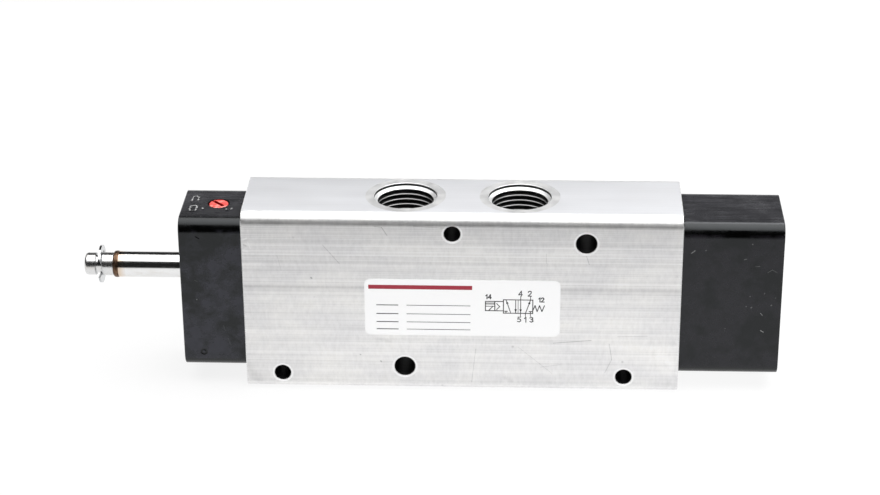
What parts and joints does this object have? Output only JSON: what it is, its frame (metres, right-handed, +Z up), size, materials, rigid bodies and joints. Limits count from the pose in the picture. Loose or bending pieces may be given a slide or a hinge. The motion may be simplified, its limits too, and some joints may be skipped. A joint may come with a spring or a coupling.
{
  "type": "solenoid directional valve",
  "caption": "Spring-return pneumatic spool valve: aluminium body with threaded ports and through holes, black end blocks, bare armature tube with clip.",
  "frame": {"origin": "centre of the body's bottom face, at the middle of port 1's mouth", "axes": "+X from the pilot end to the spring end, -Y towards the front face with the label, +Z up towards ports 4 and 2"},
  "size_m": [0.2336, 0.0341, 0.0645],
  "materials": {
    "extruded_aluminium": "satin, drawn lines along the body",
    "label": "smooth printed film",
    "polished_steel": "polished",
    "black_plastic": "fine moulded grain",
    "nitrile_rubber": "matt",
    "black_screw": "blackened",
    "sintered_bronze": "porous",
    "brass": "turned",
    "acetal": "smooth",
    "machined_aluminium": "turned",
    "spring_steel": "drawn wire",
    "stainless_tube": "polished, light heat tint near the weld",
    "heat_tinted_weld": "brown heat tint",
    "stainless_core": "turned and polished",
    "copper": "turned",
    "clip_steel": "bright stamped",
    "red_plastic": "gloss"
  },
  "bodies": {
    "valve": {"valve_body": "extruded_aluminium", "name_label": "label", "gallery_ball_plugs": "polished_steel", "pilot_head": "black_plastic", "pilot_head_gasket": "nitrile_rubber", "pilot_head_screws": "black_screw", "pilot_filter": "sintered_bronze", "spring_cover": "black_plastic", "spring_cover_gasket": "nitrile_rubber", "spring_cover_screws": "black_screw", "spacer_cage_1": "brass", "spacer_cage_2": "brass", "spacer_cage_3": "brass", "spacer_cage_4": "brass", "spacer_cage_5": "brass", "spool_seal_1": "nitrile_rubber", "spool_seal_2": "nitrile_rubber", "spool_seal_3": "nitrile_rubber", "spool_seal_4": "nitrile_rubber", "spool_seal_5": "nitrile_rubber", "spool_seal_6": "nitrile_rubber", "pilot_end_bush": "brass", "spring_end_bush": "brass", "pilot_bush_o_ring": "nitrile_rubber", "spring_bush_o_ring": "nitrile_rubber", "piston_liner": "brass", "spring_sleeve": "black_plastic", "return_spring": "spring_steel", "spring_guide": "acetal", "armature_tube": "stainless_tube", "tube_o_ring": "nitrile_rubber", "weld_ring": "heat_tinted_weld", "fixed_core": "stainless_core", "shading_ring": "copper", "retaining_clip": "clip_steel", "plunger_spring": "spring_steel", "pilot_nozzle": "brass", "nozzle_o_rings": "nitrile_rubber", "nozzle_snap_ring": "spring_steel"},
    "spool_set": {"spool": "machined_aluminium", "pilot_piston": "acetal", "piston_seal": "nitrile_rubber"},
    "plunger_set": {"plunger": "stainless_core", "plunger_seat_seal": "nitrile_rubber", "plunger_vent_seal": "nitrile_rubber"},
    "override": {"override_screw": "red_plastic", "override_o_ring": "nitrile_rubber"}
  },
  "joints": [
    {"name": "spool_shift", "type": "slide", "parent": "valve", "child": "spool_set", "axis": [1, 0, 0], "range_m": [0, 0.008], "stiffness_N_per_m": 3000, "springref_m": -0.008, "deforming": ["return_spring"]},
    {"name": "plunger_lift", "type": "slide", "parent": "valve", "child": "plunger_set", "axis": [-1, 0, 0], "range_m": [0, 0.00115], "stiffness_N_per_m": 500, "springref_m": -0.004, "deforming": ["plunger_spring"]},
    {"name": "override_turn", "type": "hinge", "parent": "valve", "child": "override", "pos_m": [-0.0816, 0, 0.055], "axis": [0, 0, 1], "range_deg": [0, 90]}
  ]
}
